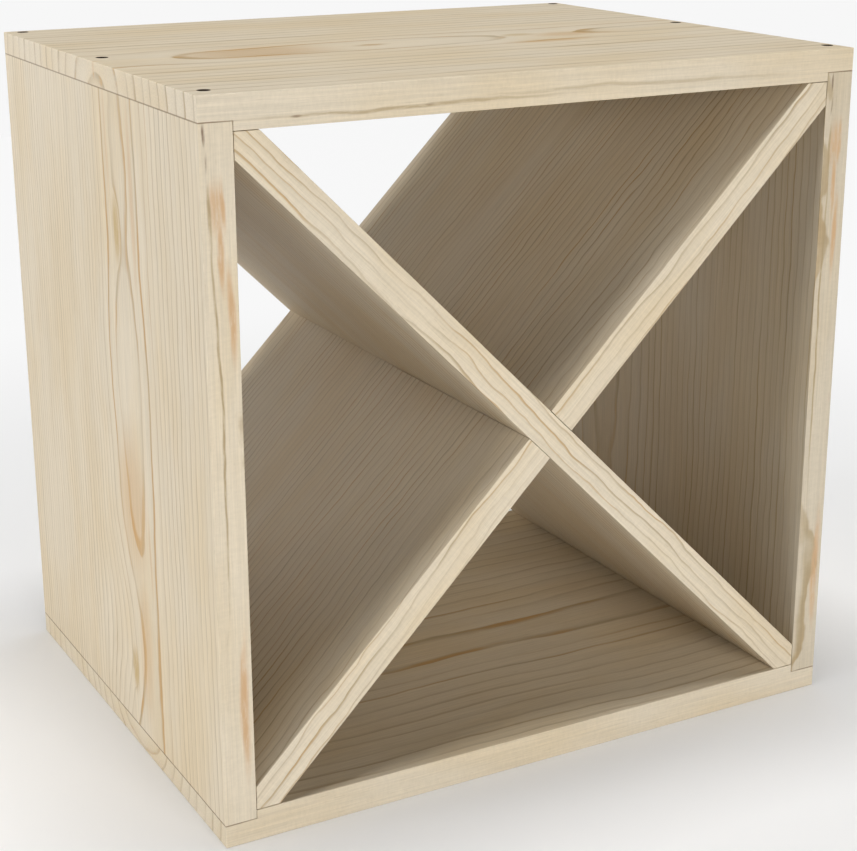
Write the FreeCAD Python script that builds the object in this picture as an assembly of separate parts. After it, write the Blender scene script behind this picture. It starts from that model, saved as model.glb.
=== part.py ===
import FreeCAD, Part
import math
import os

# Wine rack: a square box of four pine boards, open at the front and the rear, with two crossed
# boards inside that make four triangular compartments. All sizes are in millimetres.
# +X runs across the rack, +Y from the front opening to the rear one, and +Z is up.
# The origin is the centre of the bottom panel's underside.

# Box
width = 400.0
height = 400.0
depth = 317.0
side_thickness = 18.0
panel_thickness = 18.0
rabbet_depth = 5.0          # how far each side panel lets into the top and bottom panels
rabbet_gap = 0.2            # slack beside a side panel in its rabbet
edge_radius = 0.4           # eased edges of every board

# Crossed dividers
divider_thickness = 19.0
insert_gap = 0.3            # slack between a divider's pointed ends and the box
lap_gap = 0.3               # slack on each face of the half-lap joint, and at its bottom

# Countersunk wood screws, sunk below the face of the panel
screws_per_edge = 3
front_screw_inset = 16.0
rear_screw_inset = 6.3
left_screw_inset = 10.2     # from the outer face of the left side panel
right_screw_inset = 6.2     # from the outer face of the right side panel
screw_length = 45.0
screw_diameter = 3.5
point_length = 6.0
head_diameter = 6.4
head_rim = 0.3
head_cone = 1.9
sink_depth = 2.5
sink_gap = 0.1              # slack round the head in its hole
shank_gap = 0.3             # slack round the shank in the panel
recess_span = 3.6
recess_width = 0.8
recess_depth = 1.2

# Sizes that follow from the ones above
opening_width = width - 2 * side_thickness
opening_height = height - 2 * panel_thickness
seat_height = panel_thickness - rabbet_depth
front = -depth / 2
rear = depth / 2
overrun = 10.0              # how far a cutting solid reaches past what it cuts

UP = FreeCAD.Vector(0, 0, 1)
ACROSS = FreeCAD.Vector(1, 0, 0)
ALONG_DEPTH = FreeCAD.Vector(0, 1, 0)
ORIGIN = FreeCAD.Vector(0, 0, 0)
BOX_CENTRE = FreeCAD.Vector(0, 0, height / 2)


def block(low, high):
    """A plain box between two opposite corners."""
    corner = FreeCAD.Vector(*low)
    size = FreeCAD.Vector(*high) - corner
    return Part.makeBox(size.x, size.y, size.z, corner)


def eased(board):
    """The board with all its edges rounded over."""
    return board.makeFillet(edge_radius, board.Edges)


def turned_profile(points):
    """A solid of revolution about +Z from (radius, height) points."""
    corners = [FreeCAD.Vector(radius, 0, level) for radius, level in points]
    outline = Part.makePolygon(corners + corners[:1])
    return Part.Face(outline).revolve(ORIGIN, UP, 360)


# Box of four boards

def right_rabbet():
    """The step under the right end of the top panel, where the side panel's top end sits."""
    low = (width / 2 - side_thickness - rabbet_gap, front - overrun, height - panel_thickness - overrun)
    high = (width / 2 + overrun, rear + overrun, height - seat_height)
    return block(low, high)


def top_panel():
    """The full-width top panel, with its two end rabbets and its screw holes."""
    low = (-width / 2, front, height - panel_thickness)
    high = (width / 2, rear, height)
    panel = eased(block(low, high))
    panel = panel.cut(right_rabbet())
    panel = panel.cut(right_rabbet().mirror(ORIGIN, ACROSS))
    for edge_x in (left_screw_x(), right_screw_x()):
        for place in screw_places(edge_x):
            panel = panel.cut(moved(screw_passage(), place))
    return panel


def bottom_panel():
    """The bottom panel: the top panel turned face down."""
    return upside_down(top_panel())


def side_panel(inner_x, outer_x, screw_x):
    """An upright side panel between the beds of the two rabbets, bored by its own screws."""
    low = (min(inner_x, outer_x), front, seat_height)
    high = (max(inner_x, outer_x), rear, height - seat_height)
    panel = eased(block(low, high))
    for screw in top_screws(screw_x) + bottom_screws(screw_x):
        panel = panel.cut(screw)
    return panel


def left_side_panel():
    """The side panel at -X."""
    return side_panel(-opening_width / 2, -width / 2, left_screw_x())


def right_side_panel():
    """The side panel at +X."""
    return side_panel(opening_width / 2, width / 2, right_screw_x())


# Crossed dividers

def diagonal_slab(rise, thickness, start_y, end_y):
    """A slab along one diagonal of the opening: rise is +1 if it climbs towards +X, -1 if it falls."""
    reach = width + height
    slab = block((-reach / 2, start_y, -thickness / 2), (reach / 2, end_y, thickness / 2))
    slope = math.degrees(math.atan2(opening_height, opening_width))
    slab.rotate(ORIGIN, ALONG_DEPTH, -rise * slope)
    slab.translate(BOX_CENTRE)
    return slab


def divider_blank(rise):
    """A whole divider with both ends pointed to fit the corners of the box."""
    low = (insert_gap - opening_width / 2, front, panel_thickness + insert_gap)
    high = (opening_width / 2 - insert_gap, rear, height - panel_thickness - insert_gap)
    slab = diagonal_slab(rise, divider_thickness, front - overrun, rear + overrun)
    return eased(slab.common(block(low, high)))


def lap_slot(rise, start_y, end_y):
    """The slot that takes the divider with the given rise."""
    return diagonal_slab(rise, divider_thickness + 2 * lap_gap, start_y, end_y)


def falling_divider():
    """From top left to bottom right, whole at the front, slotted from its rear edge."""
    return divider_blank(-1).cut(lap_slot(1, -lap_gap / 2, rear + overrun))


def rising_divider():
    """From bottom left to top right, whole at the rear, slotted from its front edge."""
    return divider_blank(1).cut(lap_slot(-1, front - overrun, lap_gap / 2))


# Screws

def left_screw_x():
    """Where the left rows of screws lie across the rack."""
    return left_screw_inset - width / 2


def right_screw_x():
    """Where the right rows of screws lie across the rack."""
    return width / 2 - right_screw_inset


def screw_places(edge_x):
    """The middle of each screw's mouth on the top face, evenly spaced from front to rear."""
    first = front + front_screw_inset
    pitch = (depth - front_screw_inset - rear_screw_inset) / (screws_per_edge - 1)
    return [FreeCAD.Vector(edge_x, first + pitch * row, height) for row in range(screws_per_edge)]


def moved(solid, place):
    """A copy of the solid, carried to a place."""
    copy = solid.copy()
    copy.translate(place)
    return copy


def upside_down(shape):
    """The shape mirrored from the top of the rack to the bottom."""
    return shape.mirror(BOX_CENTRE, UP)


def screw():
    """One countersunk screw, head up, with the face of the panel at height 0."""
    head = -sink_depth
    neck = head - head_rim - head_cone
    tip = head - screw_length
    radius = screw_diameter / 2
    head_radius = head_diameter / 2
    outline = [(0, head), (head_radius, head), (head_radius, head - head_rim), (radius, neck),
               (radius, tip + point_length), (0, tip)]
    return turned_profile(outline).cut(cross_recess())


def cross_recess():
    """The cross-shaped driver recess in the screw's head."""
    bottom = -sink_depth - recess_depth
    half_span = recess_span / 2
    half_width = recess_width / 2
    along = block((-half_span, -half_width, bottom), (half_span, half_width, 0))
    across = block((-half_width, -half_span, bottom), (half_width, half_span, 0))
    return along.fuse(across)


def screw_passage():
    """What one screw takes out of the panel: its sunk mouth, its cone seat and its clearance hole."""
    mouth = head_diameter / 2 + sink_gap
    hole = screw_diameter / 2 + shank_gap
    seat_top = -sink_depth - head_rim
    cone_slope = head_cone / (head_diameter / 2 - screw_diameter / 2)
    seat_bottom = seat_top - cone_slope * (head_diameter / 2 - hole)
    outline = [(0, overrun), (mouth, overrun), (mouth, seat_top), (head_diameter / 2, seat_top),
               (hole, seat_bottom), (hole, -panel_thickness - overrun), (0, -panel_thickness - overrun)]
    return turned_profile(outline)


def top_screws(edge_x):
    """A row of screws down through the top panel."""
    return [moved(screw(), place) for place in screw_places(edge_x)]


def bottom_screws(edge_x):
    """A row of screws up through the bottom panel."""
    return [upside_down(one) for one in top_screws(edge_x)]


NODES = {
    "top_panel": top_panel(),
    "bottom_panel": bottom_panel(),
    "left_side_panel": left_side_panel(),
    "right_side_panel": right_side_panel(),
    "falling_divider": falling_divider(),
    "rising_divider": rising_divider(),
    "screws_top_left": Part.makeCompound(top_screws(left_screw_x())),
    "screws_top_right": Part.makeCompound(top_screws(right_screw_x())),
    "screws_bottom_left": Part.makeCompound(bottom_screws(left_screw_x())),
    "screws_bottom_right": Part.makeCompound(bottom_screws(right_screw_x())),
}

os.makedirs("parts", exist_ok=True)
for node, shape in NODES.items():
    shape.exportStep(os.path.join("parts", node + ".step"))
    print(node, len(shape.Solids), shape.isValid(), round(shape.Volume))
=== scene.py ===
"""Looks of a solid pine wine rack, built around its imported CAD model.

The boards keep their CAD shapes and get solid-wood materials that are cut through rings round a pith,
so that each board's faces, edges and ends agree. The screws are remodelled with threads and drive
recesses. All lengths are in metres, except where a docstring says millimetres.
"""

import logging
import math
from dataclasses import dataclass, replace
from enum import Enum

import bmesh
import bpy
from mathutils import Matrix, Vector


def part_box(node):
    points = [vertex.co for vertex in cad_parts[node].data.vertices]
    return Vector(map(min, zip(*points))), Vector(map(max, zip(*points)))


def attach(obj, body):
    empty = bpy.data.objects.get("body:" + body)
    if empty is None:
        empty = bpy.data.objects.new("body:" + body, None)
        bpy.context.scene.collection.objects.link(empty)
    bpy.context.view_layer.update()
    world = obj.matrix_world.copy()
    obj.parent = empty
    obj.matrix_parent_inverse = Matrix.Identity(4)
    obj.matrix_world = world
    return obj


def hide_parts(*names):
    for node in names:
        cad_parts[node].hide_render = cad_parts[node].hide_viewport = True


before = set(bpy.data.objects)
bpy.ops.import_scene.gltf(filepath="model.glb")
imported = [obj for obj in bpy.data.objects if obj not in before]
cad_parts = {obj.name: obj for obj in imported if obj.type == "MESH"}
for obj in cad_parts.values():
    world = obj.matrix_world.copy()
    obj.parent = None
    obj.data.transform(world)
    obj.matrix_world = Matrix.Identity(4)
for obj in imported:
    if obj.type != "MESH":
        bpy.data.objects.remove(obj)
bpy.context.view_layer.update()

MM = 0.001
RGB = tuple[float, float, float]
Triple = tuple[float, float, float]
WHITE = (1.0, 1.0, 1.0, 1.0)
BACKDROP = 0.93
log = logging.getLogger("wine_rack")


@dataclass(frozen=True)
class Noise:
    """Noise with its own feature length along each axis, in the unit of the place it is read at."""

    lengths: Triple
    detail: float = 2.0
    roughness: float = 0.5


@dataclass(frozen=True)
class Step:
    """A smooth step from start at low to end at high, held beyond both. Low may be the greater."""

    low: float
    high: float
    start: float = 0.0
    end: float = 1.0


def linear(red: int, green: int, blue: int) -> RGB:
    """The linear colour of an 8-bit display colour.

    Args:
        red: Red from 0 to 255.
        green: Green from 0 to 255.
        blue: Blue from 0 to 255.

    Returns:
        The three linear channels.
    """
    full_scale = 255
    knee, slope, offset, gamma = 0.04045, 12.92, 0.055, 2.4

    def channel(level: int) -> float:
        """One channel, decoded."""
        share = level / full_scale
        return share / slope if share <= knee else ((share + offset) / (1 + offset)) ** gamma

    return channel(red), channel(green), channel(blue)


class Graph:
    """A material's node tree, with short calls for the nodes that the finishes need."""

    def __init__(self, name: str) -> None:
        """Start a material with an empty tree.

        Args:
            name: The material's name.
        """
        self.material = bpy.data.materials.new(name)
        self.material.use_nodes = True
        self.tree = self.material.node_tree
        self.tree.nodes.clear()

    def add(self, kind: str, **settings: object) -> bpy.types.Node:
        """Add a node and set its properties.

        Args:
            kind: The node's type name, without its ShaderNode prefix.
            settings: Properties of the node.

        Returns:
            The new node.
        """
        node = self.tree.nodes.new("ShaderNode" + kind)
        for key, value in settings.items():
            setattr(node, key, value)
        return node

    def feed(self, socket: bpy.types.NodeSocket, source: object) -> None:
        """Join a source to a socket, or set the socket to a constant.

        Args:
            socket: The input socket.
            source: An output socket, or a plain value.
        """
        if isinstance(source, bpy.types.NodeSocket):
            self.tree.links.new(source, socket)
        else:
            socket.default_value = source

    def math(self, operation: str, *terms: object, clamp: bool = False) -> bpy.types.NodeSocket:
        """Work out a number from one, two or three terms.

        Args:
            operation: The Math node's operation.
            terms: Sockets or numbers.
            clamp: Whether the result stays from 0 to 1.

        Returns:
            The result's socket.
        """
        node = self.add("Math", operation=operation, use_clamp=clamp)
        for socket, term in zip(node.inputs, terms):
            self.feed(socket, term)
        return node.outputs[0]

    def vector(self, operation: str, *terms: object) -> bpy.types.NodeSocket:
        """Work out a vector from one or two terms.

        Args:
            operation: The Vector Math node's operation.
            terms: Sockets or triples.

        Returns:
            The socket of the result: a number for LENGTH and DOT_PRODUCT.
        """
        node = self.add("VectorMath", operation=operation)
        for socket, term in zip(node.inputs, terms):
            self.feed(socket, term)
        return node.outputs["Value" if operation in ("LENGTH", "DOT_PRODUCT") else "Vector"]

    def split(self, vector: bpy.types.NodeSocket) -> tuple[bpy.types.NodeSocket, ...]:
        """Split a vector into its three components.

        Args:
            vector: The vector's socket.

        Returns:
            The three sockets.
        """
        node = self.add("SeparateXYZ")
        self.feed(node.inputs[0], vector)
        return tuple(node.outputs)

    def merge(self, *parts: object) -> bpy.types.NodeSocket:
        """Merge three numbers into a vector.

        Args:
            parts: Sockets or numbers.

        Returns:
            The vector's socket.
        """
        node = self.add("CombineXYZ")
        for socket, part in zip(node.inputs, parts):
            self.feed(socket, part)
        return node.outputs[0]

    def ramp(self, value: object, step: Step) -> bpy.types.NodeSocket:
        """Ease a number over a step.

        Args:
            value: The number's socket.
            step: The step.

        Returns:
            The eased number's socket.
        """
        node = self.add("MapRange", interpolation_type="SMOOTHSTEP", clamp=True)
        for socket, term in zip(node.inputs, (value, step.low, step.high, step.start, step.end)):
            self.feed(socket, term)
        return node.outputs[0]

    def noise(self, vector: bpy.types.NodeSocket, noise: Noise, output: str = "Fac"
              ) -> bpy.types.NodeSocket:
        """Add noise.

        Args:
            vector: The place to read it at.
            noise: What the noise is like.
            output: Fac for one number, or Color for three.

        Returns:
            The noise's socket.
        """
        place = self.vector("DIVIDE", vector, noise.lengths)
        node = self.add("TexNoise", noise_dimensions="3D")
        self.feed(node.inputs["Vector"], place)
        self.feed(node.inputs["Scale"], 1.0)
        self.feed(node.inputs["Detail"], noise.detail)
        self.feed(node.inputs["Roughness"], noise.roughness)
        return node.outputs[output]

    def swing(self, noise: bpy.types.NodeSocket, amount: object) -> bpy.types.NodeSocket:
        """Turn noise from 0 to 1 into a swing about 0.

        Args:
            noise: The noise's socket.
            amount: The whole width of the swing.

        Returns:
            The swing's socket.
        """
        middle = 0.5
        return self.math("MULTIPLY", self.math("SUBTRACT", noise, middle), amount)

    def blend(self, share: object, first: object, second: object, how: str = "MIX") -> bpy.types.NodeSocket:
        """Mix two colours.

        Args:
            share: How much of the second, from 0 to 1.
            first: A colour socket, or a linear colour.
            second: A colour socket, or a linear colour.
            how: The blending mode.

        Returns:
            The mixed colour's socket.
        """
        node = self.add("Mix", data_type="RGBA", blend_type=how, clamp_factor=True)
        colours = [s for s in node.inputs if s.type == "RGBA"]
        self.feed(node.inputs["Factor"], share)
        for socket, colour in zip(colours, (first, second)):
            self.feed(socket, (*colour, 1.0) if isinstance(colour, tuple) else colour)
        return next(s for s in node.outputs if s.type == "RGBA")

    def close(self, inputs: dict[str, object], height: object, depth: float) -> bpy.types.Material:
        """Finish the tree with one shader.

        Args:
            inputs: Values or sockets for the Principled shader, by input name.
            height: The relief, from 0 to 1.
            depth: How deep a relief of 1 is.

        Returns:
            The finished material.
        """
        bump = self.add("Bump")
        self.feed(bump.inputs["Strength"], 1.0)
        self.feed(bump.inputs["Distance"], depth)
        self.feed(bump.inputs["Height"], height)
        shader = self.add("BsdfPrincipled")
        for key, value in inputs.items():
            self.feed(shader.inputs[key], value)
        self.feed(shader.inputs["Normal"], bump.outputs[0])
        output = self.add("OutputMaterial")
        self.feed(output.inputs["Surface"], shader.outputs[0])
        return self.material


class MarkKind(Enum):
    """What a mark in the wood is."""

    RESIN = "resin-rich streak of latewood"
    BLUSH = "pinkish resin stain"
    LINE = "stray line of latewood on an edge"
    KNOT = "small knot that the rings bend round"
    PITCH = "thin dark pitch pocket"
    SWELL = "place where the rings draw in, or swell out if its strength is below 0, in millimetres"
    # Painted shade: this mark darkens the wood along the gap where two boards meet, in place of the shadow
    # in that gap.
    SHADED_SEAM = "dark line where two boards meet"


@dataclass(frozen=True)
class Mark:
    """One mark, in millimetres in its board's own axes: along the grain, across the board, through it."""

    kind: MarkKind
    centre: Triple
    reach: Triple
    strength: float = 1.0


@dataclass(frozen=True)
class Grain:
    """How a board was cut from its log, in millimetres in the board's own axes.

    The pith is given across the board and through it. Rings are ring_width wide as far out as young,
    and outer_width beyond it. The core widens the middle, taper tilts the pith, lean shifts the rings
    from one edge to the other, and sway and ripple bend them.
    """

    seed: float
    pith: tuple[float, float]
    ring_width: float
    core: float
    young: float = 1000.0
    outer_width: float = 5.0
    taper: float = 0.0
    lean: float = 0.0
    phase: float = 0.0
    sway: float = 5.0
    ripple: float = 1.7
    contrast: float = 1.0
    resin: float = 0.75
    tone: float = 1.0
    marks: tuple[Mark, ...] = ()


@dataclass(frozen=True)
class ScrewHoles:
    """Two evenly spaced rows of screw holes through a panel, in the row frame."""

    left_x: float
    right_x: float
    first_y: float
    pitch: float
    radius: float


@dataclass(frozen=True)
class PineNoises:
    """The noises in pine, with lengths in millimetres along, across and through the board."""

    sway: Noise = Noise((150.0, 95.0, 95.0), detail=1.0)
    ripple: Noise = Noise((30.0, 18.0, 18.0))
    uneven: Noise = Noise((17.0, 1.0, 1.0), detail=1.0)
    fade: Noise = Noise((110.0, 22.0, 22.0))
    cloud: Noise = Noise((120.0, 40.0, 40.0), detail=3.0)
    rich: Noise = Noise((70.0, 9.0, 9.0))
    streak: Noise = Noise((70.0, 1.1, 1.1), detail=3.0, roughness=0.6)
    fibre: Noise = Noise((14.0, 0.35, 0.35), roughness=0.6)
    canal: Noise = Noise((9.0, 0.42, 0.42), detail=1.0)
    stroke: Noise = Noise((1.7, 5.0, 5.0), detail=3.0, roughness=0.65)
    torn: Noise = Noise((11.0, 1.3, 1.3), detail=3.0, roughness=0.65)
    fuzz: Noise = Noise((6.0, 0.5, 0.5), detail=3.0, roughness=0.65)
    sanding: Noise = Noise((22.0, 0.28, 0.28), detail=1.0)


@dataclass(frozen=True)
class PineSteps:
    """The smooth steps in pine: over a ring's year, over noise, over latewood, or over millimetres."""

    growth: Step = Step(0.70, 0.93)
    winter: Step = Step(0.95, 1.0, 1.0, 0.0)
    faint: Step = Step(0.15, 0.85, 0.0, 0.10)
    vigour: Step = Step(0.0, 1.0, 0.55, 1.0)
    shown: Step = Step(0.32, 0.60, 0.45, 1.0)
    warm: Step = Step(0.35, 0.7)
    heart: Step = Step(34.0, 10.0, 0.2, 1.0)
    rich: Step = Step(0.40, 0.62)
    in_latewood: Step = Step(0.2, 0.8)
    soaked: Step = Step(0.05, 0.5, 0.4, 1.0)
    streak: Step = Step(0.25, 0.75, 0.92, 1.05)
    fibre: Step = Step(0.25, 0.75, -0.035, 0.03)
    canal: Step = Step(0.68, 0.76, 0.0, 0.28)
    stroke: Step = Step(0.25, 0.75, 0.965, 1.025)
    ragged: Step = Step(0.32, 0.56, 0.45, 1.0)
    sawn: Step = Step(0.35, 0.1)
    # Painted shade on the screw hole walls: full up to 0.05 mm outside the holes' radius, gone by 0.25 mm.
    shaded_hole_wall: Step = Step(0.25, 0.05)
    crushed: Step = Step(1.1, 0.0, 0.0, 0.3)


@dataclass(frozen=True)
class PineFinish:
    """Sanded, untreated pine.

    The seed steps move each board to its own stretch of noise. The shares say how much of a ring's
    width a knot or unevenness shifts it, how dense latewood looks, and what each feature adds to the
    roughness and to the relief.
    """

    noises: PineNoises = PineNoises()
    steps: PineSteps = PineSteps()
    seed_steps: Triple = (137.0, 59.0, 83.0)
    uneven_seed_step: float = 31.0
    vigour_seed_step: float = 7.0
    mark_core: float = 0.25
    knot_shift: float = 0.5
    uneven_shift: float = 0.7
    late_cover: float = 0.9
    late_polish: float = -0.12
    resin_polish: float = -0.1
    fuzz_roughness: float = 0.16
    drilled_roughness: float = 0.25
    late_height: float = 0.35
    fuzz_height: float = 0.4
    sanding_height: float = 0.35
    seam_height: float = -0.8
    specular: float = 0.32
    early: RGB = linear(221, 208, 185)
    early_warm: RGB = linear(219, 202, 172)
    late: RGB = linear(170, 149, 112)
    resin: RGB = linear(200, 156, 94)
    blush: RGB = linear(204, 168, 128)
    knot: RGB = linear(190, 162, 108)
    pitch: RGB = linear(104, 72, 48)
    # Colour of the painted shade along the gaps where boards meet.
    seam_shade: RGB = linear(122, 92, 58)
    # Colour of the painted shade on the screw hole walls.
    shaded_hole_wall: RGB = linear(48, 32, 22)
    roughness: float = 0.62
    relief: float = 0.12 * MM

    def board(self, name: str, node: str, turn: float, grain: Grain, holes: ScrewHoles | None = None
              ) -> bpy.types.Material:
        """Make one board's wood.

        Args:
            name: The material's name.
            node: The CAD node of the board, whose box centres the pattern.
            turn: The grain's slope: the angle about +Y from lying along +X.
            grain: How the board was cut.
            holes: The screw holes through it, if any.

        Returns:
            The material.
        """
        graph = Graph(name)
        place = graph.add("TexCoord")
        low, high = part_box(node)
        mapping = graph.add("Mapping", vector_type="TEXTURE")
        mapping.inputs["Location"].default_value = (low + high) / 2
        mapping.inputs["Rotation"].default_value = (0.0, turn, 0.0)
        mapping.inputs["Scale"].default_value = (MM, MM, MM)
        graph.feed(mapping.inputs["Vector"], place.outputs["Object"])
        own = mapping.outputs[0]
        seeded = graph.vector("ADD", own, tuple(grain.seed * step for step in self.seed_steps))
        bent = self._bend(graph, own, seeded, grain)
        marks = self._marks(graph, own, bent, grain)
        late, spread = self._rings(graph, bent, seeded, grain, marks)
        edge = self._edge(graph, own, (high.y - low.y) / 2 / MM)
        colour = self._colour(graph, seeded, late, spread, grain, marks)
        colour = self._stain_and_shade(graph, seeded, colour, edge, marks)
        colour, rough_gain = self._holes(graph, place.outputs["Object"], colour, holes)
        return self._surface(graph, seeded, colour, late, marks, rough_gain)

    def _bend(self, graph: Graph, own: bpy.types.NodeSocket, seeded: bpy.types.NodeSocket, grain: Grain
              ) -> bpy.types.NodeSocket:
        """Bend the board's axes as the tree grew: slow sway along it, and small ripples.

        Args:
            graph: The material's tree.
            own: The place in the board's own axes.
            seeded: The same place, moved to this board's own stretch of noise.
            grain: How the board was cut.

        Returns:
            The bent place.
        """
        middle = (0.5, 0.5, 0.5)
        shifts = []
        for noise, reach in ((self.noises.sway, grain.sway), (self.noises.ripple, grain.ripple)):
            swing = graph.vector("SUBTRACT", graph.noise(seeded, noise, "Color"), middle)
            shifts.append(graph.vector("MULTIPLY", swing, (0.0, 2 * reach, 2 * reach)))
        return graph.vector("ADD", own, graph.vector("ADD", *shifts))

    def _marks(self, graph: Graph, own: bpy.types.NodeSocket, bent: bpy.types.NodeSocket, grain: Grain
               ) -> dict[MarkKind, bpy.types.NodeSocket]:
        """Find how strongly each kind of mark shows at a place.

        Args:
            graph: The material's tree.
            own: The place in the board's own axes, where seams are straight.
            bent: The bent place.
            grain: The board's grain, which lists the marks.

        Returns:
            One strength socket for each kind of mark that the board has. Swells are added up.
        """
        found: dict[MarkKind, bpy.types.NodeSocket] = {}
        for mark in grain.marks:
            place = own if mark.kind in (MarkKind.SHADED_SEAM, MarkKind.SWELL) else bent
            full = 0.0 if mark.kind is MarkKind.SWELL else self.mark_core
            away = graph.vector("DIVIDE", graph.vector("SUBTRACT", place, mark.centre), mark.reach)
            near = graph.ramp(graph.vector("LENGTH", away), Step(1.0, full, 0.0, mark.strength))
            known = found.get(mark.kind)
            how = "ADD" if mark.kind is MarkKind.SWELL else "MAXIMUM"
            found[mark.kind] = near if known is None else graph.math(how, known, near)
        return found

    def _rings(self, graph: Graph, bent: bpy.types.NodeSocket, seeded: bpy.types.NodeSocket, grain: Grain,
               marks: dict[MarkKind, bpy.types.NodeSocket]
               ) -> tuple[bpy.types.NodeSocket, bpy.types.NodeSocket]:
        """Lay the year rings round the pith: wide ones in the young wood, narrow ones outside it.

        Args:
            graph: The material's tree.
            bent: The bent place.
            seeded: The place in this board's own stretch of noise.
            grain: How the board was cut.
            marks: The strengths of the marks, because rings swell round some of them.

        Returns:
            How much latewood there is, and the distance from the pith.
        """
        along, across, through = graph.split(bent)
        side = graph.math("SUBTRACT", across, grain.pith[0])
        rise = graph.math("SUBTRACT", through, grain.pith[1])
        leaned = graph.math("MULTIPLY_ADD", along, -grain.taper, rise)
        spread = graph.vector("LENGTH", graph.merge(side, leaned, grain.core))
        spread = graph.math("MULTIPLY_ADD", across, grain.lean, spread)
        if MarkKind.SWELL in marks:
            spread = graph.math("ADD", marks[MarkKind.SWELL], spread)
        if MarkKind.KNOT in marks:
            shift = self.knot_shift * grain.ring_width
            spread = graph.math("MULTIPLY_ADD", marks[MarkKind.KNOT], shift, spread)
        uneven = graph.noise(graph.merge(spread, grain.seed * self.uneven_seed_step, 0.0),
                             self.noises.uneven)
        count = graph.math("MULTIPLY_ADD", spread, 1 / grain.ring_width,
                           graph.swing(uneven, self.uneven_shift))
        grown = graph.math("MAXIMUM", graph.math("SUBTRACT", spread, grain.young), 0.0)
        count = graph.math("MULTIPLY_ADD", grown, 1 / grain.outer_width - 1 / grain.ring_width, count)
        count = graph.math("ADD", count, grain.phase)
        year = graph.math("FLOOR", count)
        season = graph.math("FRACT", count)
        growth = graph.ramp(season, self.steps.growth)
        winter = graph.ramp(season, self.steps.winter)
        faint = graph.ramp(season, self.steps.faint)
        luck = graph.add("TexWhiteNoise", noise_dimensions="1D")
        graph.feed(luck.inputs["W"], graph.math("ADD", year, grain.seed * self.vigour_seed_step))
        vigour = graph.ramp(luck.outputs["Value"], self.steps.vigour)
        shown = graph.ramp(graph.noise(seeded, self.noises.fade), self.steps.shown)
        line = graph.math("MULTIPLY", graph.math("MULTIPLY", growth, winter), vigour)
        late = graph.math("MAXIMUM", graph.math("MULTIPLY", line, shown), faint)
        return late, spread

    def _edge(self, graph: Graph, own: bpy.types.NodeSocket, half_depth: float) -> bpy.types.NodeSocket:
        """Find the board's front and rear edges, which the saw left with fine strokes across them.

        Args:
            graph: The material's tree.
            own: The place in the board's own axes.
            half_depth: From the board's middle to its edge, in millimetres.

        Returns:
            1 on the edges and 0 elsewhere.
        """
        _, across, _ = graph.split(own)
        inward = graph.math("SUBTRACT", half_depth, graph.math("ABSOLUTE", across))
        return graph.ramp(inward, self.steps.sawn)

    def _colour(self, graph: Graph, seeded: bpy.types.NodeSocket, late: bpy.types.NodeSocket,
                spread: bpy.types.NodeSocket, grain: Grain, marks: dict[MarkKind, bpy.types.NodeSocket]
                ) -> bpy.types.NodeSocket:
        """Colour the wood: pale earlywood, darker latewood, resin and fibres.

        Args:
            graph: The material's tree.
            seeded: The place in this board's own stretch of noise.
            late: How much latewood there is.
            spread: The distance from the pith.
            grain: How the board was cut.
            marks: The strengths of the marks.

        Returns:
            The colour's socket.
        """
        noises, steps = self.noises, self.steps
        warm = graph.ramp(graph.noise(seeded, noises.cloud), steps.warm)
        early = tuple(grain.tone * channel for channel in self.early)
        early_warm = tuple(grain.tone * channel for channel in self.early_warm)
        colour = graph.blend(warm, early, early_warm)
        strength = graph.math("MULTIPLY", late, self.late_cover * grain.contrast, clamp=True)
        colour = graph.blend(strength, colour, self.late)
        from_core = graph.math("SUBTRACT", spread, grain.core)
        resin = graph.math("MULTIPLY", graph.ramp(graph.noise(seeded, noises.rich),
                                                  replace(steps.rich, end=grain.resin)),
                           graph.ramp(from_core, steps.heart))
        resin = graph.math("MULTIPLY", resin, graph.ramp(late, steps.in_latewood))
        if MarkKind.RESIN in marks:
            soaked = graph.math("MULTIPLY", marks[MarkKind.RESIN], graph.ramp(late, steps.soaked))
            resin = graph.math("MAXIMUM", resin, soaked)
        colour = graph.blend(resin, colour, self.resin)
        shade = graph.math("ADD", graph.ramp(graph.noise(seeded, noises.streak), steps.streak),
                           graph.ramp(graph.noise(seeded, noises.fibre), steps.fibre))
        colour = graph.blend(1.0, colour, graph.merge(shade, shade, shade), "MULTIPLY")
        dash = graph.ramp(graph.noise(seeded, noises.canal), steps.canal)
        return graph.blend(dash, colour, self.late)

    def _stain_and_shade(self, graph: Graph, seeded: bpy.types.NodeSocket, colour: bpy.types.NodeSocket,
               edge: bpy.types.NodeSocket, marks: dict[MarkKind, bpy.types.NodeSocket]
               ) -> bpy.types.NodeSocket:
        """Add the blushes, knots, pitch, the painted shade along the seams and the strokes across the
        edges.

        Args:
            graph: The material's tree.
            seeded: The place in this board's own stretch of noise.
            colour: The wood's colour.
            edge: 1 on the front and rear edges.
            marks: The strengths of the marks.

        Returns:
            The new colour.
        """
        shade = graph.ramp(graph.noise(seeded, self.noises.stroke), self.steps.stroke)
        struck = graph.blend(1.0, colour, graph.merge(shade, shade, shade), "MULTIPLY")
        colour = graph.blend(edge, colour, struck)
        ragged = graph.ramp(graph.noise(seeded, self.noises.torn), self.steps.ragged)
        for kind, stain in ((MarkKind.BLUSH, self.blush), (MarkKind.LINE, self.late),
                            (MarkKind.KNOT, self.knot), (MarkKind.PITCH, self.pitch)):
            if kind in marks:
                colour = graph.blend(graph.math("MULTIPLY", marks[kind], ragged), colour, stain)
        # Painted shade along the gaps where boards meet.
        if MarkKind.SHADED_SEAM in marks:
            colour = graph.blend(marks[MarkKind.SHADED_SEAM], colour, self.seam_shade)
        return colour

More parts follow.
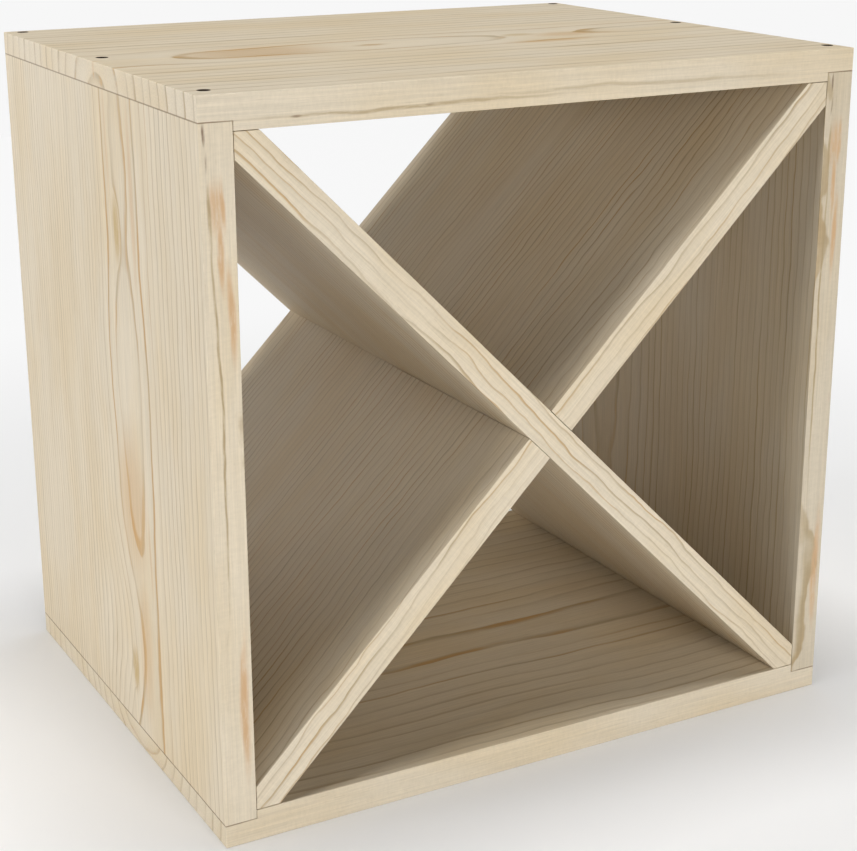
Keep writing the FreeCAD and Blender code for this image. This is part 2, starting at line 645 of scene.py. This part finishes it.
    def _holes(self, graph: Graph, place: bpy.types.NodeSocket, colour: bpy.types.NodeSocket,
               holes: ScrewHoles | None) -> tuple[bpy.types.NodeSocket, object]:
        """Paint shade on the walls of the screw holes, and darken the crushed fibres round their rims.

        Args:
            graph: The material's tree.
            place: The place in the row frame.
            colour: The wood's colour.
            holes: The rows of holes, or None.

        Returns:
            The new colour, and how much rougher the wood of the hole walls is.
        """
        if holes is None:
            return colour, 0.0
        across, deep, _ = graph.split(place)
        to_left = graph.math("ABSOLUTE", graph.math("SUBTRACT", across, holes.left_x))
        to_right = graph.math("ABSOLUTE", graph.math("SUBTRACT", across, holes.right_x))
        aside = graph.math("MINIMUM", to_left, to_right)
        half = holes.pitch / 2
        step = graph.math("FLOORED_MODULO", graph.math("SUBTRACT", deep, holes.first_y - half), holes.pitch)
        along = graph.math("SUBTRACT", step, half)
        outside = graph.math("SUBTRACT", graph.vector("LENGTH", graph.merge(aside, along, 0.0)),
                             holes.radius)
        outside = graph.math("DIVIDE", outside, MM)
        # Painted shade: everything inside the holes' radius is darkened nearly to black, in place of the
        # shade in the holes.
        shaded_hole_wall = graph.ramp(outside, self.steps.shaded_hole_wall)
        crushed = graph.ramp(outside, self.steps.crushed)
        colour = graph.blend(crushed, colour, self.late)
        return graph.blend(shaded_hole_wall, colour, self.shaded_hole_wall), shaded_hole_wall

    def _surface(self, graph: Graph, seeded: bpy.types.NodeSocket, colour: bpy.types.NodeSocket,
                 late: bpy.types.NodeSocket, marks: dict[MarkKind, bpy.types.NodeSocket],
                 rough_gain: object) -> bpy.types.Material:
        """Give the wood its sheen and its sanded relief, and close the tree.

        Args:
            graph: The material's tree.
            seeded: The place in this board's own stretch of noise.
            colour: The wood's colour.
            late: How much latewood there is, which stands proud and is denser.
            marks: The strengths of the marks.
            rough_gain: How much rougher the wood of the hole walls is.

        Returns:
            The finished material.
        """
        fuzz = graph.noise(seeded, self.noises.fuzz)
        sanding = graph.noise(seeded, self.noises.sanding)
        rough = graph.math("MULTIPLY_ADD", late, self.late_polish, self.roughness)
        rough = graph.math("ADD", rough, graph.swing(fuzz, self.fuzz_roughness))
        if MarkKind.RESIN in marks:
            rough = graph.math("MULTIPLY_ADD", marks[MarkKind.RESIN], self.resin_polish, rough)
        rough = graph.math("MULTIPLY_ADD", rough_gain, self.drilled_roughness, rough, clamp=True)
        height = graph.math("MULTIPLY", late, self.late_height)
        height = graph.math("ADD", height, graph.swing(fuzz, self.fuzz_height))
        height = graph.math("ADD", height, graph.swing(sanding, self.sanding_height))
        if MarkKind.SHADED_SEAM in marks:
            height = graph.math("MULTIPLY_ADD", marks[MarkKind.SHADED_SEAM], self.seam_height, height)
        shader = {"Base Color": colour, "Roughness": rough, "Specular IOR Level": self.specular}
        return graph.close(shader, height, self.relief)


@dataclass(frozen=True)
class ZincFinish:
    """Yellow zinc plate on a screw, dulled and rubbed, with its noise in millimetres."""

    cloud: Noise = Noise((2.4, 2.4, 2.4), detail=4.0, roughness=0.6)
    scratch: Noise = Noise((0.25, 3.0, 0.25))
    dull: Step = Step(0.42, 0.66, 0.0, 0.8)
    worn: Step = Step(0.60, 0.74, 0.0, 0.55)
    roughness: Step = Step(0.3, 0.7, 0.3, 0.5)
    relief: float = 0.02 * MM
    plate: RGB = linear(176, 150, 92)
    tarnish: RGB = linear(112, 92, 60)
    steel: RGB = linear(150, 146, 138)

    def material(self, name: str) -> bpy.types.Material:
        """Make the plated steel.

        Args:
            name: The material's name.

        Returns:
            The material.
        """
        graph = Graph(name)
        place = graph.vector("SCALE", graph.add("TexCoord").outputs["Object"])
        place.node.inputs["Scale"].default_value = 1 / MM
        cloud = graph.noise(place, self.cloud)
        scratch = graph.noise(place, self.scratch)
        colour = graph.blend(graph.ramp(cloud, self.dull), self.plate, self.tarnish)
        colour = graph.blend(graph.ramp(scratch, self.worn), colour, self.steel)
        shader = {"Base Color": colour, "Roughness": graph.ramp(cloud, self.roughness), "Metallic": 1.0}
        return graph.close(shader, scratch, self.relief)


@dataclass(frozen=True)
class FloorFinish:
    """Matt, pale studio floor, which fades into the backdrop away from the rack."""

    pale: RGB = (0.88, 0.88, 0.88)
    shade: RGB = (0.85, 0.85, 0.85)
    glow: float = BACKDROP
    cloud: Noise = Noise((0.6, 0.6, 0.6))
    mottle: Step = Step(0.3, 0.7)
    fade: Step = Step(0.28, 0.95)
    roughness: float = 0.9
    specular: float = 0.1
    relief: float = 0.1 * MM

    def material(self, name: str) -> bpy.types.Material:
        """Make the floor's material.

        Args:
            name: The material's name.

        Returns:
            The material.
        """
        graph = Graph(name)
        place = graph.add("TexCoord").outputs["Object"]
        cloud = graph.noise(place, self.cloud)
        colour = graph.blend(graph.ramp(cloud, self.mottle), self.pale, self.shade)
        far = graph.ramp(graph.vector("LENGTH", place), self.fade)
        faded = graph.math("MULTIPLY", far, graph.add("LightPath").outputs["Is Camera Ray"])
        colour = graph.blend(faded, colour, (0.0, 0.0, 0.0))
        shader = {"Base Color": colour, "Roughness": self.roughness, "Specular IOR Level": self.specular,
                  "Emission Color": WHITE, "Emission Strength": graph.math("MULTIPLY", faded, self.glow)}
        return graph.close(shader, cloud, self.relief)


class Lie(Enum):
    """Which way a board's grain runs."""

    LEVEL = "across the rack"
    UPRIGHT = "up the rack"
    RISING = "up towards +X"
    FALLING = "down towards +X"


def grain_turn(lie: Lie) -> float:
    """The angle about +Y that turns +X on to a board's grain.

    Args:
        lie: Which way the grain runs.

    Returns:
        The angle in radians.
    """
    low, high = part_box("rising_divider")
    slope = math.atan2(high.z - low.z, high.x - low.x)
    turns = {Lie.LEVEL: 0.0, Lie.UPRIGHT: -math.pi / 2, Lie.RISING: -slope, Lie.FALLING: slope}
    return turns[lie]


@dataclass
class PineBoards:
    """Boards that keep their CAD shapes and get their wood."""

    finish: PineFinish
    lies: dict[str, Lie]
    grains: dict[str, Grain]
    holes: dict[str, ScrewHoles]

    def dress(self) -> list[str]:
        """Give each board its own wood.

        Returns:
            The names of the boards.
        """
        for node, lie in self.lies.items():
            wood = self.finish.board("pine_" + node, node, grain_turn(lie), self.grains[node],
                                     self.holes.get(node))
            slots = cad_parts[node].data.materials
            slots.clear()
            slots.append(wood)
        return list(self.lies)


@dataclass
class ScrewRow:
    """A row of countersunk wood screws that stands for one CAD node."""

    node: str
    points_down: bool
    finish: bpy.types.Material
    count: int = 3
    head_radius: float = 3.2 * MM
    shank_radius: float = 1.2 * MM
    thread_radius: float = 1.72 * MM
    rim: float = 0.3 * MM
    cone: float = 1.9 * MM
    plain_neck: float = 12 * MM
    point: float = 6 * MM
    thread_pitch: float = 1.8 * MM
    recess_span: float = 1.8 * MM
    recess_width: float = 0.42 * MM
    recess_depth: float = 1.5 * MM
    recess_draft: float = 0.55
    edge_break: float = 0.08 * MM
    crest_share: float = 0.24
    root_share: float = 0.96
    crease: float = math.radians(35)
    facets: int = 32
    thread_steps: int = 16
    hair: float = 0.001 * MM
    flat_normal: float = 0.99

    def build(self) -> bpy.types.Object:
        """Build the whole row where the CAD node is.

        Returns:
            The row's object, riding on the box.
        """
        low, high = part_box(self.node)
        length = high.z - low.z
        row = bmesh.new()
        for place in self._places(low, high):
            self._add_screw(row, length, place)
        mesh = bpy.data.meshes.new(self.node + "_threaded")
        bmesh.ops.recalc_face_normals(row, faces=row.faces)
        row.to_mesh(mesh)
        row.free()
        mesh.shade_smooth()
        mesh.set_sharp_from_angle(angle=self.crease)
        mesh.materials.append(self.finish)
        piece = bpy.data.objects.new(self.node + "_threaded", mesh)
        bpy.context.scene.collection.objects.link(piece)
        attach(piece, "box")
        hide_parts(self.node)
        return piece

    def _places(self, low: Vector, high: Vector) -> list[Vector]:
        """Where each screw's head top is.

        Args:
            low: The node's lowest corner.
            high: The node's highest corner.

        Returns:
            One point for each screw.
        """
        first = low.y + self.head_radius
        pitch = (high.y - low.y - 2 * self.head_radius) / (self.count - 1)
        level = high.z if self.points_down else low.z
        return [Vector(((low.x + high.x) / 2, first + pitch * step, level)) for step in range(self.count)]

    def _add_screw(self, row: bmesh.types.BMesh, length: float, place: Vector) -> None:
        """Add one screw to the row.

        Args:
            row: The row's bmesh.
            length: From the head's top to the point.
            place: The middle of the head's top.
        """
        one = bmesh.new()
        self._add_body(one, length)
        self._cut_recess(one)
        self._add_thread(one, length)
        if not self.points_down:
            bmesh.ops.rotate(one, verts=one.verts, cent=(0, 0, 0), matrix=Matrix.Rotation(math.pi, 3, "X"))
        bmesh.ops.translate(one, verts=one.verts, vec=place)
        scratch = bpy.data.meshes.new("one_screw")
        one.to_mesh(scratch)
        one.free()
        row.from_mesh(scratch)
        bpy.data.meshes.remove(scratch)

    def _add_body(self, one: bmesh.types.BMesh, length: float) -> None:
        """Spin the head, shank and point from one outline.

        Args:
            one: The screw's bmesh.
            length: From the head's top to the point.
        """
        neck = -self.rim - self.cone
        outline = [(0.0, 0.0), (self.head_radius - self.edge_break, 0.0),
                   (self.head_radius, -self.edge_break), (self.head_radius, -self.rim),
                   (self.thread_radius, neck),
                   (self.thread_radius, -self.plain_neck), (self.shank_radius, -self.plain_neck - self.rim),
                   (self.shank_radius, self.point - length), (0.0, -length)]
        verts = [one.verts.new((radius, 0.0, level)) for radius, level in outline]
        edges = [one.edges.new(pair) for pair in zip(verts, verts[1:])]
        bmesh.ops.spin(one, geom=verts + edges, cent=(0, 0, 0), axis=(0, 0, 1), angle=2 * math.pi,
                       steps=self.facets, use_merge=True, use_duplicate=False)
        bmesh.ops.remove_doubles(one, verts=one.verts, dist=self.hair)
        bmesh.ops.recalc_face_normals(one, faces=one.faces)

    def _cut_recess(self, one: bmesh.types.BMesh) -> None:
        """Sink the cross recess into the head's top.

        Args:
            one: The screw's bmesh.
        """
        for axis in (Vector((1, 0, 0)), Vector((0, 1, 0))):
            for offset in (-self.recess_span, -self.recess_width, self.recess_width, self.recess_span):
                top = [f for f in one.faces if self._on_top(f)]
                cut = top + [e for f in top for e in f.edges] + [v for f in top for v in f.verts]
                bmesh.ops.bisect_plane(one, geom=list(dict.fromkeys(cut)), dist=self.hair,
                                       plane_co=axis * offset, plane_no=axis)
        cross = [f for f in one.faces if self._on_top(f) and self._in_cross(f.calc_center_median())]
        sunk = bmesh.ops.extrude_face_region(one, geom=cross)
        bmesh.ops.delete(one, geom=cross, context="FACES_KEEP_BOUNDARY")
        floor = [v for v in sunk["geom"] if isinstance(v, bmesh.types.BMVert)]
        bmesh.ops.translate(one, verts=floor, vec=(0, 0, -self.recess_depth))
        bmesh.ops.scale(one, verts=floor, vec=(self.recess_draft, self.recess_draft, 1.0))

    def _on_top(self, face: bmesh.types.BMFace) -> bool:
        """Whether a face is part of the head's flat top."""
        return face.normal.z > self.flat_normal and face.calc_center_median().z > -self.hair

    def _in_cross(self, point: Vector) -> bool:
        """Whether a point of the head's top lies in the cross recess."""
        near, far = sorted((abs(point.x), abs(point.y)))
        return near < self.recess_width and far < self.recess_span

    def _add_thread(self, one: bmesh.types.BMesh, length: float) -> None:
        """Wind a sharp thread round the shank.

        Args:
            one: The screw's bmesh.
            length: From the head's top to the point.
        """
        run = length - self.plain_neck - self.point
        turns = math.floor(run / self.thread_pitch)
        top = -self.plain_neck - self.rim
        half = self.thread_pitch * self.crest_share
        root = self.shank_radius * self.root_share
        corners = [(root, half), (self.thread_radius, 0.0), (root, -half)]
        verts = [one.verts.new((radius, 0.0, top + lift - half)) for radius, lift in corners]
        edges = [one.edges.new((verts[i], verts[(i + 1) % len(verts)])) for i in range(len(verts))]
        steps = turns * self.thread_steps
        wound = bmesh.ops.spin(one, geom=verts + edges, cent=(0, 0, 0), axis=(0, 0, 1),
                               dvec=(0, 0, -self.thread_pitch / self.thread_steps),
                               angle=2 * math.pi * turns, steps=steps, use_duplicate=False)
        last = [v for v in wound["geom_last"] if isinstance(v, bmesh.types.BMVert)]
        bmesh.ops.contextual_create(one, geom=verts)
        bmesh.ops.contextual_create(one, geom=last)


@dataclass(frozen=True)
class Softbox:
    """A square soft light that faces the rack."""

    name: str
    place: Triple
    watts: float
    aim: Triple = (0.0, 0.0, 0.2)
    size: float = 1.4

    def hang(self) -> bpy.types.Object:
        """Add the light to the scene.

        Returns:
            The light's object.
        """
        lamp = bpy.data.lights.new(self.name, "AREA")
        lamp.shape = "SQUARE"
        lamp.size = self.size
        lamp.energy = self.watts
        holder = bpy.data.objects.new(self.name, lamp)
        holder.location = self.place
        holder.rotation_euler = (Vector(self.aim) - Vector(self.place)).to_track_quat("-Z", "Y").to_euler()
        bpy.context.scene.collection.objects.link(holder)
        return holder


@dataclass
class Studio:
    """Floor, soft lights, sky and camera."""

    softboxes: tuple[Softbox, ...]
    sky: float = 0.02
    backdrop: float = BACKDROP
    floor_size: float = 4.4
    view_from: Triple = (-0.5132, -0.9609, 0.5200)
    view_azimuth: float = -29.116
    view_elevation: float = 17.377
    lens: float = 76.4
    sensor: float = 36.0
    shift: tuple[float, float] = (-0.0202, -0.0345)

    def build(self) -> None:
        """Set the floor, the lights, the sky and the camera."""
        self._floor()
        for softbox in self.softboxes:
            softbox.hang()
        self._sky()
        self._camera()

    def _floor(self) -> None:
        """Lay the pale floor under the rack."""
        sheet = bmesh.new()
        bmesh.ops.create_grid(sheet, x_segments=2, y_segments=2, size=self.floor_size / 2)
        mesh = bpy.data.meshes.new("studio_floor")
        sheet.to_mesh(mesh)
        sheet.free()
        mesh.materials.append(FloorFinish().material("studio_floor"))
        floor = bpy.data.objects.new("studio_floor", mesh)
        bpy.context.scene.collection.objects.link(floor)

    def _sky(self) -> None:
        """Fill the room with dim even light, before a bright backdrop."""
        world = bpy.data.worlds.new("studio_sky")
        world.use_nodes = True
        tree = world.node_tree
        tree.nodes.clear()
        shades = []
        for strength in (self.sky, self.backdrop):
            shade = tree.nodes.new("ShaderNodeBackground")
            shade.inputs["Color"].default_value = WHITE
            shade.inputs["Strength"].default_value = strength
            shades.append(shade)
        path = tree.nodes.new("ShaderNodeLightPath")
        either = tree.nodes.new("ShaderNodeMixShader")
        output = tree.nodes.new("ShaderNodeOutputWorld")
        tree.links.new(path.outputs["Is Camera Ray"], either.inputs[0])
        for socket, shade in zip(list(either.inputs)[1:], shades):
            tree.links.new(shade.outputs[0], socket)
        tree.links.new(either.outputs[0], output.inputs["Surface"])
        bpy.context.scene.world = world
        bpy.context.scene.view_settings.view_transform = "Standard"
        bpy.context.scene.view_settings.look = "None"

    def _camera(self) -> None:
        """Place the camera."""
        camera = bpy.data.cameras.new("view")
        camera.lens = self.lens
        camera.sensor_width = self.sensor
        camera.shift_x, camera.shift_y = self.shift
        holder = bpy.data.objects.new("view", camera)
        turn, tilt = math.radians(self.view_azimuth), math.radians(self.view_elevation)
        back = Vector((math.sin(turn) * math.cos(tilt), -math.cos(turn) * math.cos(tilt), math.sin(tilt)))
        holder.location = self.view_from
        holder.rotation_euler = back.to_track_quat("Z", "Y").to_euler()
        bpy.context.scene.collection.objects.link(holder)
        bpy.context.scene.camera = holder


SOFTBOXES = (
    Softbox("front_softbox", (0.0, -3.2, 0.6), 60.0),
    Softbox("left_softbox", (-3.2, 0.0, 0.8), 51.5),
    Softbox("top_softbox", (0.0, 0.0, 3.4), 78.0),
    Softbox("right_softbox", (3.2, 0.2, 0.8), 30.0),
    Softbox("rear_softbox", (-0.9, 3.2, 0.6), 30.0),
)


def screw_holes(left: str, right: str) -> ScrewHoles:
    """The two rows of three holes over a pair of screw nodes.

    Args:
        left: The node of the left row.
        right: The node of the right row.

    Returns:
        The rows' places.
    """
    low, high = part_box(left)
    other_low, other_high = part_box(right)
    head = (high.x - low.x) / 2
    slack = 0.1 * MM
    gaps = 2
    return ScrewHoles((low.x + high.x) / 2, (other_low.x + other_high.x) / 2, low.y + head,
                      (high.y - low.y - 2 * head) / gaps, head + slack)


def seams(along: float, through: float, reach: Triple) -> tuple[Mark, ...]:
    """The lines of painted shade where a board meets its neighbours at both of its ends.

    Args:
        along: How far each line is from the board's middle, in millimetres.
        through: Where the line lies through the board.
        reach: How far the painted shade reaches about the line.

    Returns:
        The two marks.
    """
    darkness = 0.6
    return tuple(Mark(MarkKind.SHADED_SEAM, (end * along, 0.0, through), reach, darkness) for end in (1, -1))


FAR = 10000.0
# Painted shade along the gaps at both ends of each board.
SIDE_SEAMS = seams(187.0, 0.0, (0.6, FAR, FAR))
TOP_SEAMS = seams(200.0, -4.0, (26.0, FAR, 0.6))
BOTTOM_SEAMS = seams(200.0, 4.0, (26.0, FAR, 0.6))
LEFT_MARKS = (
    Mark(MarkKind.SWELL, (35.0, -37.0, 9.0), (75.0, 80.0, 60.0), -5.2),
    Mark(MarkKind.SWELL, (150.0, -37.0, 9.0), (60.0, 40.0, 50.0), -1.6),
    Mark(MarkKind.SWELL, (-135.0, -18.0, 9.0), (92.0, 58.0, 60.0), 17.0),
    Mark(MarkKind.SWELL, (-30.0, -62.0, 9.0), (60.0, 34.0, 60.0), -2.0),
    Mark(MarkKind.RESIN, (160.0, -23.0, 9.0), (46.0, 2.6, 8.0), 0.8),
    Mark(MarkKind.RESIN, (133.0, -60.0, 9.0), (70.0, 5.0, 8.0), 1.0),
    Mark(MarkKind.RESIN, (-68.0, -61.5, 9.0), (36.0, 2.2, 8.0), 0.9),
    Mark(MarkKind.RESIN, (-42.0, -37.0, 9.0), (58.0, 30.0, 14.0), 1.0),
    Mark(MarkKind.RESIN, (-130.0, -46.0, 9.0), (58.0, 14.0, 8.0), 0.8),
    Mark(MarkKind.KNOT, (113.0, -32.0, 9.0), (26.0, 9.0, 16.0), 0.85),
    Mark(MarkKind.KNOT, (-150.0, -26.0, 9.0), (20.0, 7.5, 16.0), 0.85),
)
RIGHT_MARKS = (
    Mark(MarkKind.RESIN, (80.0, 55.0, -9.0), (110.0, 26.0, 12.0), 0.45),
)
UPRIGHT_EDGE_MARKS = (
    Mark(MarkKind.BLUSH, (146.0, -158.5, 0.4), (19.0, 8.0, 5.5), 0.8),
    Mark(MarkKind.BLUSH, (147.0, -158.5, -3.4), (18.0, 8.0, 2.2), 1.0),
    Mark(MarkKind.BLUSH, (122.0, -158.5, -1.0), (26.0, 8.0, 2.4), 1.0),
    Mark(MarkKind.BLUSH, (92.0, -158.5, -4.4), (34.0, 8.0, 2.8), 1.0),
    Mark(MarkKind.BLUSH, (-120.0, -158.5, -5.0), (52.0, 8.0, 3.6), 1.0),
    Mark(MarkKind.BLUSH, (-112.0, -158.5, -4.2), (38.0, 8.0, 1.8), 1.0),
    Mark(MarkKind.LINE, (142.0, -158.5, 3.8), (22.0, 8.0, 1.3), 0.9),
    Mark(MarkKind.LINE, (40.0, -158.5, 3.6), (150.0, 8.0, 1.1), 0.95),
    Mark(MarkKind.PITCH, (181.0, -158.5, 5.8), (7.0, 8.0, 1.2), 1.0),
    Mark(MarkKind.PITCH, (168.0, -158.5, 4.6), (7.0, 8.0, 0.9), 0.5),
)
TOP_MARKS = (
    Mark(MarkKind.SWELL, (-40.0, -12.0, 9.0), (95.0, 60.0, 60.0), -5.0),
    Mark(MarkKind.SWELL, (80.0, -20.0, 9.0), (60.0, 60.0, 60.0), 5.5),
    Mark(MarkKind.SWELL, (-185.0, -8.0, 9.0), (62.0, 60.0, 60.0), 9.0),
    Mark(MarkKind.RESIN, (-105.0, -12.0, 9.0), (62.0, 34.0, 14.0), 1.0),
    Mark(MarkKind.RESIN, (-199.0, -10.0, 5.0), (6.0, 2.2, 9.0), 0.8),
    Mark(MarkKind.KNOT, (67.0, -6.0, 9.0), (16.0, 9.0, 14.0), 0.6),
    Mark(MarkKind.RESIN, (95.0, -16.0, 9.0), (30.0, 16.0, 12.0), 0.9),
    Mark(MarkKind.RESIN, (70.0, -41.0, 9.0), (40.0, 9.0, 8.0), 0.9),
    Mark(MarkKind.LINE, (-90.0, -158.5, -3.6), (125.0, 8.0, 1.6), 0.75),
    Mark(MarkKind.LINE, (60.0, -158.5, -1.4), (140.0, 8.0, 1.5), 0.45),
    Mark(MarkKind.PITCH, (-149.0, -158.5, -3.6), (4.0, 8.0, 1.0), 0.6),
    Mark(MarkKind.PITCH, (-75.0, -158.5, -3.2), (4.5, 8.0, 1.0), 0.5),
)


def rack_boards() -> PineBoards:
    """The six boards of the rack, each with its own grain.

    Returns:
        The boards.
    """
    lies = {"top_panel": Lie.LEVEL, "bottom_panel": Lie.LEVEL, "left_side_panel": Lie.UPRIGHT,
            "right_side_panel": Lie.UPRIGHT, "rising_divider": Lie.RISING, "falling_divider": Lie.FALLING}
    grains = {
        "top_panel": Grain(seed=1.0, pith=(-12.0, -8.0), ring_width=11.0, core=26.0, phase=0.75,
                           marks=TOP_MARKS + TOP_SEAMS),
        "bottom_panel": Grain(seed=2.0, pith=(-30.0, 20.0), ring_width=10.5, core=30.0, taper=-0.03,
                              phase=0.6, sway=9.0, contrast=0.8, marks=BOTTOM_SEAMS),
        "left_side_panel": Grain(seed=3.0, pith=(-37.0, -6.0), ring_width=8.2, core=24.0, young=44.0,
                                 outer_width=4.936, lean=0.13, phase=0.86,
                                 marks=LEFT_MARKS + UPRIGHT_EDGE_MARKS + SIDE_SEAMS),
        "right_side_panel": Grain(seed=4.0, pith=(55.0, 30.0), ring_width=8.0, core=30.0, young=60.0,
                                  outer_width=5.69, taper=-0.025, tone=0.87,
                                  marks=RIGHT_MARKS + UPRIGHT_EDGE_MARKS + SIDE_SEAMS),
        "rising_divider": Grain(seed=5.0, pith=(-260.0, -110.0), ring_width=5.0, core=20.0, taper=0.01,
                                ripple=2.4, contrast=0.9, resin=2.6, tone=1.02),
        "falling_divider": Grain(seed=6.0, pith=(-250.0, -120.0), ring_width=5.0, core=20.0, taper=-0.012,
                                 ripple=2.4, contrast=0.9, resin=2.6, tone=1.02),
    }
    holes = {"top_panel": screw_holes("screws_top_left", "screws_top_right"),
             "bottom_panel": screw_holes("screws_bottom_left", "screws_bottom_right")}
    return PineBoards(PineFinish(), lies, grains, holes)


def main() -> None:
    """Build and dress every piece of the rack, and set the studio."""
    logging.basicConfig(level=logging.INFO, format="%(message)s")
    Studio(SOFTBOXES).build()
    for board in rack_boards().dress():
        log.info("dressed %s", board)
    zinc = ZincFinish().material("zinc_plate")
    for node in ("screws_top_left", "screws_top_right"):
        log.info("built %s", ScrewRow(node, True, zinc).build().name)
    for node in ("screws_bottom_left", "screws_bottom_right"):
        log.info("built %s", ScrewRow(node, False, zinc).build().name)


if __name__ == "__main__":
    main()
